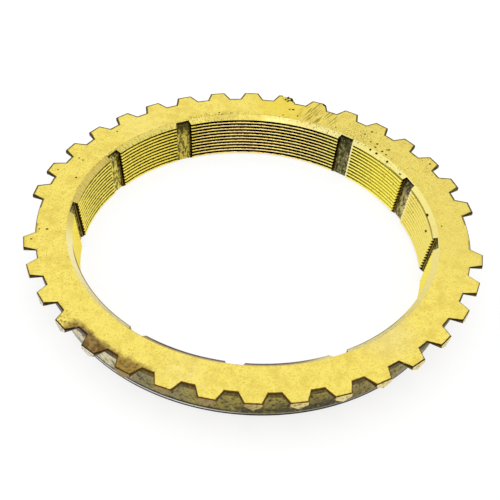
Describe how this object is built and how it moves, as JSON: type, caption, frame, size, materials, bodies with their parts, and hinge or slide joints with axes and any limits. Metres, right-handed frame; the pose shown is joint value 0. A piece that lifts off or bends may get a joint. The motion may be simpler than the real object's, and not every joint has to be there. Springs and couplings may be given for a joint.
{
  "type": "synchronizer ring",
  "caption": "Brass synchronizer ring with a toothed flange and a grooved inner friction cone crossed by oil slots.",
  "frame": {"origin": "on the ring's axis, in the plane of its small end face, which it stands on", "axes": "+Z along the ring's axis from the small end to the toothed face; the two places that carry no tooth lie on +X and -X"},
  "size_m": [0.1188, 0.12, 0.0128],
  "materials": {
    "brass": "machined, lightly worn and tarnished"
  },
  "bodies": {
    "root": {"synchronizer_ring": "brass"}
  },
  "joints": []
}
